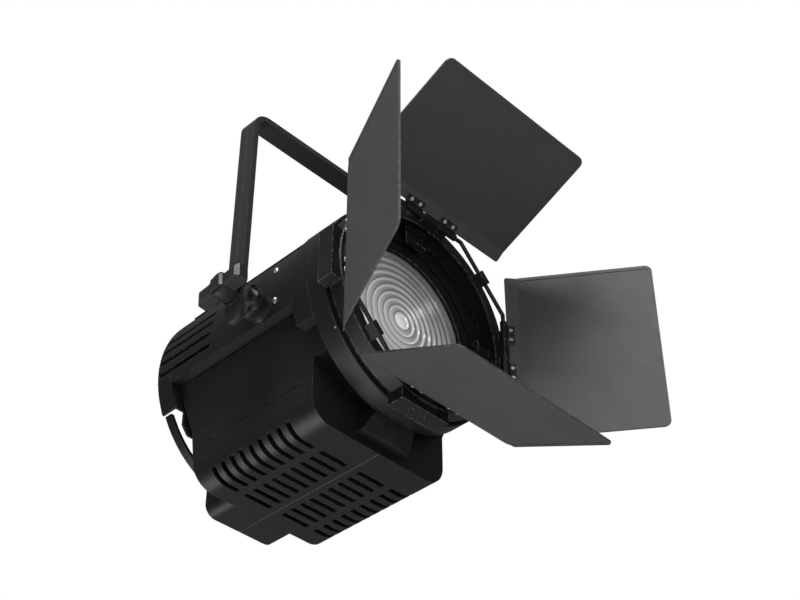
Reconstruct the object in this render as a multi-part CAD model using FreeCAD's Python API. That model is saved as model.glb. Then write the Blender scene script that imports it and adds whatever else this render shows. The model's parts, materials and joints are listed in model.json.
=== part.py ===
import FreeCAD, Part
import math
import os

# Studio Fresnel spotlight, millimetres.
#
# The head is drawn in its optical frame: the origin is the centre of the lens's front plane, light
# leaves along -Y, +X is to the right seen from behind, +Z is up.  put() then moves every node to the
# row frame, whose origin is the hanging hole on the top face of the yoke's bar.

# ---- driving dimensions ------------------------------------------------------------------------
HINGE = 135.0            # optical axis to each barn-door hinge line
HINGE_Y = -43.5          # plane of the hinge rod
LENS_R = 101.0           # visible radius of the lens
LENS_Y = 7.0             # front of the lens behind the front ring's face
BEZEL_R = 120.0          # outer radius of the black lens bezel
RING_R = 150.0           # outer radius of the fixed front ring
BODY_R = 146.5           # outer radius of the upper housing
WALL = 3.0               # casting wall
SHEET = 1.2              # barn-door sheet

YOKE_Y = 106.0           # yoke plane behind the lens plane
PIVOT_Z = -12.0          # tilt pivot below the optical axis
YOKE_TOP = 299.0         # top face of the yoke's bar above the optical axis
YOKE_LEFT = 191.5        # optical axis to the outer face of the arm with the tilt handle
YOKE_RIGHT = 166.0       # and of the plain arm
STRAP_W = 28.0
STRAP_T = 8.0
YOKE_END = -56.0         # lower ends of the yoke's arms
YOKE_HOLE_R = 6.5        # hanging hole

RING_BACK = 21.0         # back of the front ring
COLLAR_BACK = 50.0       # back of the front collar
HOUSING_BACK = 282.0     # back of the upper housing shell
REAR_BACK = 309.0        # back of the rear band
RIDGE_Z = -29.0          # lower edge of the upper housing
COLLAR_Z = -62.0         # lower edge of the two collars
CHEEK_TOP = (129.0, -33.0)
BELLY_HALF = 111.0
BELLY_TOP = -97.0
BELLY_Z = -182.0
BELLY_CORNER = 32.0
BELLY_FRONT = 46.0
BELLY_BACK = 256.0
BLOCK_HALF = 58.0        # connector block behind the belly
BLOCK_BACK = 299.0
BLOCK_TOP = -92.0

LEAF_HALF = 129.0        # half the width of a barn-door leaf
LEAF_DEPTH = {"left": 178.0, "right": 178.0, "top": 161.0, "bottom": 161.0}
LEAF_FLANGE = 17.5       # bent strip next to the hinge
LEAF_BEND = 15.0         # degrees that the flange opens more than the panel
LEAF_OPEN = {"left": 25.2, "top": 25.0, "right": 35.6, "bottom": 24.5}
LEAF_TURN = {"right": 0.0, "top": 90.0, "left": 180.0, "bottom": 270.0}

ROD_R = 2.75
ROD_CHAMFER = 77.5       # how much of each side the octagon's corner takes
FIT = 0.08               # radial clearance of a running fit
GAP = 0.3                # clearance between bodies that don't touch

X = FreeCAD.Vector(1, 0, 0)
Y = FreeCAD.Vector(0, 1, 0)
Z = FreeCAD.Vector(0, 0, 1)
ORIGIN = FreeCAD.Vector(0, 0, 0)
TO_ROW = FreeCAD.Vector(0, -YOKE_Y, -YOKE_TOP)


# ---- helpers -------------------------------------------------------------------------------------
def vec(x, y, z):
    return FreeCAD.Vector(x, y, z)


def box(x0, x1, y0, y1, z0, z1):
    return Part.makeBox(x1 - x0, y1 - y0, z1 - z0, vec(x0, y0, z0))


def cyl_x(r, x0, x1, y=0.0, z=0.0):
    return Part.makeCylinder(r, x1 - x0, vec(x0, y, z), X)


def cyl_y(r, y0, y1, x=0.0, z=0.0):
    return Part.makeCylinder(r, y1 - y0, vec(x, y0, z), Y)


def cyl_z(r, z0, z1, x=0.0, y=0.0):
    return Part.makeCylinder(r, z1 - z0, vec(x, y, z0), Z)


def tube_y(r_out, r_in, y0, y1, x=0.0, z=0.0):
    return cyl_y(r_out, y0, y1, x, z).cut(cyl_y(r_in, y0 - 1, y1 + 1, x, z))


def tube_x(r_out, r_in, x0, x1, y=0.0, z=0.0):
    return cyl_x(r_out, x0, x1, y, z).cut(cyl_x(r_in, x0 - 1, x1 + 1, y, z))


def fuse(shapes):
    first, rest = shapes[0], shapes[1:]
    return first.multiFuse(rest).removeSplitter() if rest else first


def polygon(points):
    return Part.makePolygon([vec(*p) for p in points] + [vec(*points[0])])


def prism(points, direction):
    """Closed polygon of (x, y, z) points pushed along a vector."""
    return Part.Face(polygon(points)).extrude(direction)


def hexagon_x(radius, x0, x1, y, z):
    """Hexagonal bar along X, radius measured to its corners."""
    points = []
    for i in range(6):
        a = math.radians(60 * i + 30)
        points.append((x0, y + radius * math.cos(a), z + radius * math.sin(a)))
    return prism(points, vec(x1 - x0, 0, 0))


def revolve_y(profile):
    """Turn a closed (radius, y) outline about the optical axis."""
    face = Part.Face(polygon([(r, y, 0) for r, y in profile]))
    return face.revolve(ORIGIN, Y, 360)


def revolve_x(profile, y, z):
    """Turn a closed (x, radius) outline about a line along X through (y, z)."""
    face = Part.Face(polygon([(x, y + r, z) for x, r in profile]))
    return face.revolve(vec(0, y, z), X, 360)


def mirrored(shape):
    return shape.mirror(ORIGIN, X)


def turned(shape, degrees):
    """Turn about the optical axis; 0 is the right side, 90 the top."""
    copy = shape.copy()
    copy.rotate(ORIGIN, Y, -degrees)
    return copy


def around(shape, angles):
    return [turned(shape, a) for a in angles]


def largest(shape):
    return max(shape.Solids, key=lambda s: s.Volume)


def put(node, shape):
    """Move a node, one solid or a list of separate solids, to the row frame and write it."""
    solids = []
    for piece in shape if isinstance(shape, list) else [shape]:
        solids += piece.Solids
    out = solids[0] if len(solids) == 1 else Part.makeCompound(solids)
    out = out.copy()
    out.translate(TO_ROW)
    out.exportStep("parts/%s.step" % node)
    print(node, len(solids), "solid(s)", round(out.Volume / 1000.0, 1), "cm3", out.isValid())


# ---- yoke ------------------------------------------------------------------------------------------
def u_outline(inset):
    """Inverted U, a solid slab as thick as the strap is wide, inset from the yoke's outer face."""
    left = YOKE_LEFT - inset
    right = YOKE_RIGHT - inset
    top = YOKE_TOP - inset
    radius = 26.0 - inset
    y0 = YOKE_Y - STRAP_W / 2
    slab = box(-left, right, y0, y0 + STRAP_W, YOKE_END - 40, top)
    corners = [e for e in slab.Edges
               if abs(e.BoundBox.ZMin - top) < 0.01 and e.BoundBox.XLength < 0.01]
    return slab.makeFillet(radius, corners)


def yoke():
    strap = u_outline(0).cut(u_outline(STRAP_T))
    mid = YOKE_Y
    half_w = STRAP_W / 2
    groove_keep = box(-400, 400, mid - 1.3, mid + 1.3, YOKE_END + 6, 400)
    groove = u_outline(0).cut(u_outline(1.0)).common(groove_keep)
    strap = strap.cut(groove)
    end = fuse([box(-400, 400, mid - half_w, mid + half_w, YOKE_END + half_w, 400),
                cyl_x(half_w, -400, 400, mid, YOKE_END + half_w)])
    strap = strap.common(end)
    strap = strap.cut(cyl_x(6.0 + FIT, -400, 400, mid, PIVOT_Z))
    return strap.cut(cyl_z(YOKE_HOLE_R, YOKE_TOP - 20, YOKE_TOP + 20, 0, mid))


# ---- tilt pivots: the left one is drawn on the right side and mirrored -----------------------------
BOSS_END = 158.0
HEAD_DISC_END = 165.0
PLAIN_BOSS_END = 152.0
ARM_IN = YOKE_LEFT - STRAP_T
PLAIN_ARM_IN = YOKE_RIGHT - STRAP_T
STUD_R = 6.0


def pivot_boss(end):
    """Bell on the housing's side that carries the stud."""
    bell = [(120, 0), (120, 19.2), (147, 19.2), (151, 18), (end, 17), (end, 0)]
    boss = revolve_x(bell, YOKE_Y, PIVOT_Z)
    boss = boss.cut(cyl_y(BODY_R, 0, 300)).cut(cyl_x(STUD_R, 100, 200, YOKE_Y, PIVOT_Z))
    return largest(boss)


def pivot_bosses():
    left = fuse([pivot_boss(BOSS_END), toothed_disc(BOSS_END, HEAD_DISC_END, 1)])
    return [pivot_boss(PLAIN_BOSS_END), mirrored(left)]


def toothed_disc(x0, x1, tooth_side):
    """Friction disc with 24 shallow radial serrations on one face."""
    disc = tube_x(22.5, STUD_R if tooth_side > 0 else STUD_R + FIT, x0, x1, YOKE_Y, PIVOT_Z)
    face = x1 if tooth_side > 0 else x0
    notches = []
    for i in range(24):
        notch = box(face - 0.8, face + 0.8, YOKE_Y + 13, YOKE_Y + 26, PIVOT_Z - 0.9, PIVOT_Z + 0.9)
        notch.rotate(vec(0, YOKE_Y, PIVOT_Z), X, i * 15.0)
        notches.append(notch)
    return disc.cut(Part.makeCompound(notches))


def yoke_friction_discs():
    """Loose serrated disc with a hub that spaces it from the left arm, and a plain pad on the right."""
    hub = tube_x(18.0, STUD_R + FIT, 172.0, ARM_IN, YOKE_Y, PIVOT_Z)
    disc = fuse([toothed_disc(HEAD_DISC_END + GAP, 172.0, -1), hub])
    pad = tube_x(18.0, STUD_R + FIT, PLAIN_BOSS_END + GAP, PLAIN_ARM_IN, YOKE_Y, PIVOT_Z)
    return [mirrored(disc), pad]


def pivot_studs():
    left = cyl_x(STUD_R, 148.0, 204.0, YOKE_Y, PIVOT_Z)
    return [mirrored(left), cyl_x(STUD_R, 148.0, YOKE_RIGHT + 12.5, YOKE_Y, PIVOT_Z)]


def pivot_nut():
    """Fixed hexagon nut and washer on the right-hand stud."""
    washer = tube_x(15.0, STUD_R, YOKE_RIGHT + GAP, YOKE_RIGHT + 2.5, YOKE_Y, PIVOT_Z)
    nut = hexagon_x(11.0, YOKE_RIGHT + 2.5, YOKE_RIGHT + 12.5, YOKE_Y, PIVOT_Z)
    return [washer, nut.cut(cyl_x(STUD_R, 100, 300, YOKE_Y, PIVOT_Z))]


def tilt_knob():
    """T-bar handle on the left-hand stud."""
    x0 = -(YOKE_LEFT + GAP)
    mid = vec(0, YOKE_Y, PIVOT_Z)
    washer = cyl_x(17.0, x0 - 2.2, x0, YOKE_Y, PIVOT_Z)
    neck = cyl_x(13.0, x0 - 8, x0, YOKE_Y, PIVOT_Z)
    bar_out, bar_in = x0 - 27, x0 - 6
    half, end = 39.0, 31.0
    outline = [(bar_in, -end), (bar_in, end), (bar_in - 5, half), (bar_out + 4, half - 1),
               (bar_out, half - 7), (bar_out, -half + 7), (bar_out + 4, -half + 1), (bar_in - 5, -half)]
    bar = prism([(x, YOKE_Y + y, PIVOT_Z - 9.5) for x, y in outline], vec(0, 0, 19))
    long_edges = [e for e in bar.Edges if e.BoundBox.YLength > 2 * end - 1]
    bar = bar.makeChamfer(2.5, long_edges)
    cap = [(bar_out, -11), (bar_out, 11), (bar_out - 3, 8), (bar_out - 3, -8)]
    cap = prism([(x, YOKE_Y + y, PIVOT_Z - 9) for x, y in cap], vec(0, 0, 18))
    hub = cyl_x(15.5, bar_out, bar_in + 2, YOKE_Y, PIVOT_Z)
    knob = fuse([washer, neck, bar, cap, hub])
    knob = knob.cut(cyl_x(6.0 + FIT, -205.0, -100, YOKE_Y, PIVOT_Z))
    knob.rotate(mid, X, -4.0)
    return knob


# ---- housing -------------------------------------------------------------------------------------------
def band(r_out, r_in, y0, y1, low_z):
    """Arch of a cylinder wall, closed over the top and ending at low_z on both sides."""
    return tube_y(r_out, r_in, y0, y1).common(box(-200, 200, y0, y1, low_z, 200))


LOUVRE_DEG = [-4.0, 3.4, 10.8, 18.2]
LOUVRE_FRONT = 208.0
SIDE_SCREWS = [(92.0, 19.5), (82.0, -3.9)]      # y and degrees round the housing
TOP_LOUVRE_DEG = [66.0, 74.0, 82.0, 90.0, 98.0, 106.0, 114.0]


def louvre(width, y0, y1):
    """Slot cutter on the right side at 0 degrees, rounded at its front end."""
    straight = box(130, 160, y0, y1, -width / 2, width / 2)
    return fuse([straight, cyl_x(width / 2, 130, 160, y0, 0)])


def side_louvres():
    """Slots on both sides that run from the skin into the rear band."""
    slot = louvre(7.0, LOUVRE_FRONT, REAR_BACK - 5.0)
    cuts = []
    for angle in LOUVRE_DEG:
        cuts += around(slot, [angle, 180 - angle])
    return cuts


def upper_housing():
    shell = band(BODY_R, BODY_R - 2.5, COLLAR_BACK, HOUSING_BACK, RIDGE_Z)
    lip_out = math.sqrt(BODY_R ** 2 - RIDGE_Z ** 2) - 1.0
    lip = box(CHEEK_TOP[0] - 2, lip_out, COLLAR_BACK, HOUSING_BACK, RIDGE_Z, RIDGE_Z + 2.5)
    shell = fuse([shell, lip, mirrored(lip)] + top_rails())
    cuts = side_louvres()
    cuts += around(louvre(7.0, LOUVRE_FRONT, HOUSING_BACK - 12), TOP_LOUVRE_DEG)
    shell = shell.cut(Part.makeCompound(cuts))
    holes = [turned(cyl_x(2.0, BODY_R - 15, BODY_R + 15, y), degrees) for y, degrees in SIDE_SCREWS]
    return shell.cut(Part.makeCompound(holes + [mirrored(h) for h in holes]))


def top_rails():
    """Raised lips where the top skin folds over each side skin."""
    rail = box(BODY_R - 1.0, BODY_R + 2.2, COLLAR_BACK + 2, HOUSING_BACK - 2, -0.8, 0.8)
    return around(rail, [37.0, 143.0])


def side_screws():
    """Button-head screws that hold the pivot plates, two on each side."""
    out = []
    for y, degrees in SIDE_SCREWS:
        shank = cyl_x(1.95, BODY_R - 12, BODY_R + 0.5, y)
        outline = [(0.05, 0), (0.05, 4.2), (1.6, 3.8), (2.6, 2.4), (2.8, 0)]
        head = revolve_x([(BODY_R + x, r) for x, r in outline], y, 0)
        screw = fuse([shank, head]).cut(hexagon_x(1.5, BODY_R + 1.4, BODY_R + 4.4, y, 0))
        screw = turned(screw, degrees)
        out += [screw, mirrored(screw)]
    return out


def front_collar():
    collar = band(RING_R, RING_R - 3.5, RING_BACK, COLLAR_BACK, COLLAR_Z)
    x_out = math.sqrt(RING_R ** 2 - COLLAR_Z ** 2)
    foot = box(122.0, x_out - 0.5, RING_BACK, COLLAR_BACK, COLLAR_Z, COLLAR_Z + 3)
    return fuse([collar, foot, mirrored(foot)])


def rear_band():
    arch = band(BODY_R + 0.5, BODY_R - 3.0, HOUSING_BACK, REAR_BACK, COLLAR_Z)
    arch = largest(arch.cut(Part.makeCompound(side_louvres())))
    rim = [e for e in arch.Edges if e.BoundBox.YLength < 0.1 and e.BoundBox.YMin > REAR_BACK - 1
           and e.BoundBox.ZMax > BODY_R]
    return arch.makeFillet(2.0, rim)


def rear_hoop():
    """Lower half of the rear rim: a flat bar that doubles as the rear grip."""
    inner = 137.0
    ring = tube_y(141.5, inner, 297.0, REAR_BACK)
    hoop = ring.common(box(-200, 200, 290, 320, -200, COLLAR_Z))
    return largest(hoop.cut(block_solid(0)))


# ---- lower castings, drawn whole and split along x = 0 -----------------------------------------------
def lower_profile(inset, y, low=None):
    """Half outline of cheek and belly as a closed face at y, mirrored to a whole."""
    top_x, top_z = CHEEK_TOP
    half = BELLY_HALF - inset
    floor = BELLY_Z + inset
    r = BELLY_CORNER - inset
    top_x -= inset
    a = vec(top_x, y, top_z)
    b = vec(half, y, BELLY_TOP)
    edges = [Part.LineSegment(vec(0, y, top_z), a), Part.LineSegment(a, b)]
    if low is None:
        c = vec(half, y, floor + r)
        d = vec(half - r, y, floor)
        s = math.sqrt(0.5)
        m = vec(half - r + r * s, y, floor + r - r * s)
        e = vec(0, y, floor)
        edges += [Part.LineSegment(b, c), Part.Arc(c, m, d), Part.LineSegment(d, e)]
    else:
        e = vec(0, y, BELLY_TOP)
        edges.append(Part.LineSegment(b, e))
    edges.append(Part.LineSegment(e, vec(0, y, top_z)))
    return Part.Face(Part.Wire([g.toShape() for g in edges]))


def lower_solid(inset, y0, y1, low=None):
    half = lower_profile(inset, y0, low).extrude(vec(0, y1 - y0, 0))
    return fuse([half, mirrored(half)])


def block_solid(inset):
    block = box(-BLOCK_HALF + inset, BLOCK_HALF - inset, BELLY_BACK - 12, BLOCK_BACK - inset,
                BELLY_Z + inset, BLOCK_TOP - inset)
    edges = [e for e in block.Edges if e.BoundBox.YLength > 30
             and abs(e.BoundBox.ZMin - BELLY_Z - inset) < 0.01]
    return block.makeFillet(17.0 - inset, edges)


VENT_PITCH = 16.8
VENT_FIRST = 92.5
VENT_COUNT = 9
VENT_W = 7.6


def vents():
    cuts = []
    for i in range(VENT_COUNT):
        y = VENT_FIRST + i * VENT_PITCH
        inner = box(9.8, 53.0, y - VENT_W / 2, y + VENT_W / 2, BELLY_Z - 2, BELLY_Z + 6)
        outer = box(64.0, 115.0, y - VENT_W / 2, y + VENT_W / 2, BELLY_Z - 2, -165.0)
        cuts += [inner, mirrored(inner), outer, mirrored(outer)]
    return Part.makeCompound(cuts)


def lower_shell():
    back = 284.0
    slope = [(-200, BELLY_BACK, BELLY_Z - 1), (-200, HOUSING_BACK - 0.5, CHEEK_TOP[1] + 1),
             (-200, 320, CHEEK_TOP[1] + 1), (-200, 320, BELLY_Z - 1)]
    rear_cut = prism(slope, vec(400, 0, 0))
    slope_in = [(x, y - WALL, z) for x, y, z in slope]
    rear_cut_in = prism(slope_in, vec(400, 0, 0))
    outer = lower_solid(0, BELLY_FRONT, back).cut(rear_cut)
    inner = lower_solid(WALL, BELLY_FRONT + WALL, back)
    inner = inner.cut(rear_cut_in)
    front = lower_solid(0, RING_BACK + 1, BELLY_FRONT, low=True)
    front_in = lower_solid(WALL, RING_BACK, BELLY_FRONT + WALL + 1, low=True)
    front_in = front_in.cut(box(-200, 200, 0, BELLY_FRONT + 2 * WALL, -200, BELLY_TOP + WALL))
    shell = outer.fuse(front).fuse(block_solid(0))
    shell = shell.cut(inner).cut(front_in).cut(block_solid(WALL))
    shell = shell.cut(cyl_y(128.5, 0, BELLY_FRONT))
    shell = shell.cut(box(-BLOCK_HALF + 12, BLOCK_HALF - 12, BELLY_BACK - 6, BELLY_BACK + 30,
                          BELLY_Z + 12, BLOCK_TOP - 8))
    shell = shell.cut(cyl_y(5.0, BELLY_BACK, HOUSING_BACK, SCREW_X, SCREW_Z))
    shell = shell.cut(vents())
    groove = box(BELLY_HALF - 1.8, BELLY_HALF + 1, 66, 238, -126.6, -123.6)
    shell = shell.cut(groove).cut(mirrored(groove))
    seam = prism([(-0.8, 40, BELLY_Z - 0.01), (0.8, 40, BELLY_Z - 0.01), (0, 40, BELLY_Z + 0.8)],
                 vec(0, 270, 0))
    return shell.cut(seam)


def half_of(shape, side):
    x0, x1 = (0, 300) if side > 0 else (-300, 0)
    return largest(shape.common(box(x0, x1, -100, 400, -300, 100)))


def bottom_lug():
    """Faceted nose under the front ring, its ridge on the centre line."""
    top = polygon([(-29, 11.5, -140), (0, 8, -140), (29, 11.5, -140), (34, 45.5, -140), (-34, 45.5, -140)])
    low = polygon([(-39.5, 36, -171), (0, 30, -171), (39.5, 36, -171), (39.5, 45.5, -171),
                   (-39.5, 45.5, -171)])
    lug = Part.makeLoft([top, low], True, True)
    return largest(lug.cut(cyl_y(RING_R, -10, RING_BACK + 0.3)))


# ---- optics ----------------------------------------------------------------------------------------------
def front_ring():
    profile = [(BEZEL_R + 0.5, 0), (144, 0), (144, -6), (RING_R - 1, -6), (RING_R, -5), (RING_R, RING_BACK),
               (128, RING_BACK), (128, BELLY_FRONT), (125, BELLY_FRONT), (125, 17), (144, 17), (144, 5),
               (BEZEL_R + 0.5, 5)]
    ring = revolve_y(profile)
    holes = [cyl_x(1.6, 140, 160, -3.0, 0)]
    return ring.cut(Part.makeCompound(around(holes[0], RETAINER_DEG)))


RETAINER_DEG = [30.0, 150.0, 215.0, 325.0]


def retaining_screws():
    """Radial screws whose tips run in the barn-door ring's groove."""
    screw = cyl_x(1.55, 142.6, RING_R - 0.2, -3.0, 0)
    return around(screw, RETAINER_DEG)


def lens_bezel():
    """Black ring round the lens, set back from the front ring's face, with a flange behind it."""
    face, lip = 1.5, BEZEL_R - 3.0
    profile = [(LENS_R, face + 1), (LENS_R + 1, face), (lip - 1, face), (lip, face + 1), (lip, 6.0),
               (BEZEL_R, 6.0), (BEZEL_R, LENS_BACK), (LENS_FLANGE_R + GAP, LENS_BACK),
               (LENS_FLANGE_R + GAP, LENS_Y - GAP), (LENS_R, LENS_Y - GAP)]
    return revolve_y(profile)


LENS_BACK = 15.2
LENS_FLANGE_R = 110.0
LENS_STEPS = 9
LENS_CENTRE = 11.0       # radius of the lens's domed middle


def fresnel_lens():
    """Flat-backed lens: a domed centre and stepped rings."""
    crest = LENS_Y + 0.8
    outline = [(0, LENS_BACK), (0, crest)]
    for i in range(1, 5):
        r = LENS_CENTRE * i / 4
        outline.append((r, crest + 2.0 * (r / LENS_CENTRE) ** 2))
    pitch = (LENS_R - 1.0 - LENS_CENTRE) / LENS_STEPS
    for i in range(LENS_STEPS):
        r0 = LENS_CENTRE + i * pitch
        rise = 2.0 + 1.8 * i / LENS_STEPS
        outline.append((r0 + 0.3, crest))
        outline.append((r0 + pitch, crest + rise))
    outline += [(LENS_R + 0.5, LENS_Y), (LENS_FLANGE_R, LENS_Y), (LENS_FLANGE_R, LENS_BACK)]
    return revolve_y(outline)


def lens_retainer():
    return tube_y(BEZEL_R - 0.1, 98.0, LENS_BACK + GAP, LENS_BACK + 3.0)


# ---- light engine ----------------------------------------------------------------------------------------
RAIL_X = 82.0
RAIL_Z = -42.0
SCREW_Z = -70.0
SCREW_X = 62.0
CARRIAGE_Y = 120.0


def bulkhead(y0, y1):
    """Plate across the housing that carries the rails."""
    disc = cyl_y(BODY_R - 2.8, y0, y1).common(box(-200, 200, y0, y1, RIDGE_Z + 2.8, 200))
    low = lower_solid(WALL + 0.3, y0, y1).common(box(-200, 200, y0, y1, -94, RIDGE_Z - 4.2))
    neck = box(-118, 118, y0, y1, RIDGE_Z - 5, RIDGE_Z + 3.5)
    return fuse([disc, low, neck])


def front_bulkhead():
    plate = bulkhead(51.0, 54.0)
    plate = plate.cut(cyl_y(90.0, 0, 100))
    for x in (-RAIL_X, RAIL_X):
        plate = plate.cut(cyl_y(5.0, 0, 100, x, RAIL_Z))
    return plate.cut(cyl_y(4.0 + FIT, 0, 100, SCREW_X, SCREW_Z))


def guide_rails():
    return [cyl_y(5.0, 51.0, 262.0, x, RAIL_Z) for x in (-RAIL_X, RAIL_X)]


def rear_bulkhead():
    plate = bulkhead(259.0, 262.0)
    plate = plate.cut(cyl_y(52.0, 200, 300, 0, 20))
    for x in (-RAIL_X, RAIL_X):
        plate = plate.cut(cyl_y(5.0, 200, 300, x, RAIL_Z))
    return plate.cut(cyl_y(4.0 + FIT, 200, 300, SCREW_X, SCREW_Z))


def carriage_plate():
    y0, y1 = CARRIAGE_Y, CARRIAGE_Y + 5
    plate = box(-98, 98, y0, y1, -78, 70)
    bosses = [cyl_y(11, y1, y1 + 20, x, RAIL_Z) for x in (-RAIL_X, RAIL_X)]
    plate = fuse([plate] + bosses)
    for x in (-RAIL_X, RAIL_X):
        plate = plate.cut(cyl_y(8.0, 100, 160, x, RAIL_Z))
    return plate.cut(cyl_y(10.0, 100, 160, SCREW_X, SCREW_Z))


def carriage_bushes():
    y0 = CARRIAGE_Y
    return [tube_y(8.0, 5.0 + FIT, y0, y0 + 25, x, RAIL_Z) for x in (-RAIL_X, RAIL_X)]


def drive_nut():
    flange = tube_y(9.9, 4.0 + FIT, CARRIAGE_Y, CARRIAGE_Y + 5, SCREW_X, SCREW_Z)
    body = tube_y(7.5, 4.0 + FIT, CARRIAGE_Y + 5, CARRIAGE_Y + 22, SCREW_X, SCREW_Z)
    return fuse([flange, body])


def drive_screw():
    """Threaded focus spindle with its thrust collars, to the knob behind the rear panel."""
    rod = cyl_y(4.0, 51.0, 296.0, SCREW_X, SCREW_Z)
    collars = [cyl_y(7.0, y, y + 4, SCREW_X, SCREW_Z) for y in (54.3, 254.7)]
    return fuse([rod] + collars)


def focus_knob():
    y0 = HOUSING_BACK + 4.5
    knob = fuse([cyl_y(9.0, y0, y0 + 4, SCREW_X, SCREW_Z), cyl_y(15.0, y0 + 4, y0 + 20, SCREW_X, SCREW_Z)])
    flutes = []
    for i in range(12):
        a = math.radians(30 * i)
        flutes.append(cyl_y(1.8, y0 + 6, y0 + 24, SCREW_X + 15.6 * math.cos(a), SCREW_Z + 15.6 * math.sin(a)))
    knob = knob.cut(Part.makeCompound(flutes))
    return knob.cut(cyl_y(4.0, 200, 296.0, SCREW_X, SCREW_Z))


def led_module():
    """Square copper board with its round emitter."""
    return fuse([box(-34, 34, CARRIAGE_Y - 3, CARRIAGE_Y, -34, 34), cyl_y(24, CARRIAGE_Y - 5.5, CARRIAGE_Y - 3)])


def light_cone():
    """Bright collar that gathers the emitter's light towards the lens."""
    y1 = CARRIAGE_Y - 3
    outer = revolve_y([(27, y1), (31, y1), (52, y1 - 26), (50, y1 - 26)])
    return outer


def heat_sink():
    y0 = CARRIAGE_Y + 5
    base = box(-55, 55, y0, y0 + 8, -28, 66)
    fins = []
    for i in range(13):
        x = -54 + i * 9
        fins.append(box(x - 1.2, x + 1.2, y0 + 7, y0 + 60, -28, 66))
    return fuse([base] + fins)


def fan_frame():
    y0, y1 = 236.0, 259.0
    frame = box(-52, 52, y0, y1, -32, 72).cut(cyl_y(47.5, y0 - 1, y1 + 1, 0, 20))
    hub = cyl_y(17, y1 - 4, y1, 0, 20)
    struts = [box(-2, 2, y1 - 3, y1, 20, 20 + 50)]
    out = [frame, hub]
    for i in range(4):
        strut = struts[0].copy()
        strut.rotate(vec(0, y1, 20), Y, 45 + 90 * i)
        out.append(strut)
    return fuse(out).cut(cyl_y(2.0 + FIT, y0 - 5, y1 - 1.5, 0, 20))


def fan_rotor():
    y0 = 238.0
    hub = cyl_y(18, y0, y0 + 14, 0, 20)
    shaft = cyl_y(2.0, y0 + 10, y0 + 19, 0, 20)
    blades = []
    for i in range(7):
        blade = prism([(10, y0 + 1, 19), (44, y0 + 1, 14), (44, y0 + 2.4, 14), (10, y0 + 2.4, 19)],
                      vec(0, 10, 9))
        blade.rotate(vec(0, y0, 20), Y, i * 360 / 7)
        blades.append(blade)
    return fuse([hub, shaft] + blades)


# ---- electronics in the belly ------------------------------------------------------------------------------
SUPPLY_Z = -158.0


def power_supply():
    return box(-86, 86, 66, 236, SUPPLY_Z, -122)


def control_board():
    board = box(-80, 80, 66, 236, -112, -110)
    chips = [box(x, x + 22, y, y + 16, -110, -105) for x in (-60, -10, 38) for y in (90, 150, 200)]
    return fuse([board] + chips)


def supply_posts():
    out = []
    for x in (-74, 74):
        for y in (76, 226):
            out.append(cyl_z(4.0, BELLY_Z + WALL, SUPPLY_Z, x * 0.78, y))
            out.append(cyl_z(3.0, -122, -112, x, y))
    return out


# ---- rear panel ------------------------------------------------------------------------------------------
PANEL_Y = HOUSING_BACK
BUTTON_X = [-48.0, -31.0, -14.0]
BUTTON_Z = -22.0
ENCODER = (30.0, -14.0)


def rear_panel():
    y0, y1 = PANEL_Y, PANEL_Y + 3
    plate = cyl_y(BODY_R - 3.2, y0, y1).common(box(-200, 200, y0, y1, -94.0, 200))
    side = box(118, 200, y0, y1, -95, COLLAR_Z - 0.3)
    plate = plate.cut(side).cut(mirrored(side))
    plate = plate.cut(box(-BLOCK_HALF - 0.3, BLOCK_HALF + 0.3, y0 - 1, y1 + 1, -99, BLOCK_TOP + 0.3))
    plate = plate.cut(cyl_y(9.0 + GAP, 200, 300, SCREW_X, SCREW_Z))
    plate = plate.cut(box(-58, -4, y0 - 1, y1 + 1, 4, 38))
    for x in BUTTON_X:
        plate = plate.cut(cyl_y(4.5 + FIT, 200, 300, x, BUTTON_Z))
    plate = plate.cut(cyl_y(3.0 + FIT, 200, 300, ENCODER[0], ENCODER[1]))
    grille = []
    for i in range(9):
        z = 60 + 8 * i
        half = math.sqrt(130.0 ** 2 - z * z) * 0.62
        grille.append(box(-half, half, y0 - 1, y1 + 1, z - 2.2, z + 2.2))
    return plate.cut(Part.makeCompound(grille))


def display_board():
    """Circuit board behind the panel that carries the display window and the button contacts."""
    glass = box(-57.7, -4.3, PANEL_Y - 7.4, PANEL_Y + 3.6, 4.3, 37.7)
    board = box(-66, 44, PANEL_Y - 9, PANEL_Y - 7.4, -30, 42)
    return fuse([glass, board])


def push_button(x):
    cap = fuse([cyl_y(4.5, PANEL_Y - 3, PANEL_Y + 5.0, x, BUTTON_Z),
                cyl_y(6.0, PANEL_Y - 5, PANEL_Y - 2.2, x, BUTTON_Z)])
    return cap


def encoder_knob():
    x, z = ENCODER
    shaft = cyl_y(3.0, PANEL_Y - 5.0, PANEL_Y + 8, x, z)
    cap = cyl_y(12.0, PANEL_Y + 4.5, PANEL_Y + 19, x, z)
    flutes = []
    for i in range(18):
        a = math.radians(20 * i)
        flutes.append(cyl_y(1.0, PANEL_Y + 6, PANEL_Y + 22, x + 12.3 * math.cos(a), z + 12.3 * math.sin(a)))
    return fuse([shaft, cap]).cut(Part.makeCompound(flutes))


SWITCH = (34.0, -112.0)
ROCKER_LEAN = 10.0       # degrees that the rocker leans towards either side


def switch_body():
    x, z = SWITCH
    y0, y1 = BLOCK_BACK - 16, BLOCK_BACK + 2
    body = box(x - 10, x + 10, y0, y1, z - 7.5, z + 7.5)
    return body.cut(box(x - 7.5, x + 7.5, y0 + 4, y1 + 1, z - 5, z + 5))


def rocker():
    x, z = SWITCH
    pivot_y = BLOCK_BACK - 3
    outline = [(x - 6.3, pivot_y), (x - 4.5, pivot_y - 3), (x + 4.5, pivot_y - 3), (x + 6.3, pivot_y),
               (x + 6.2, pivot_y + 5.4), (x, pivot_y + 3.6), (x - 6.2, pivot_y + 5.4)]
    cap = prism([(px, py, z - 4.6) for px, py in outline], vec(0, 0, 9.2))
    cap.rotate(vec(x, pivot_y, z), Z, -ROCKER_LEAN)
    return cap


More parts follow.
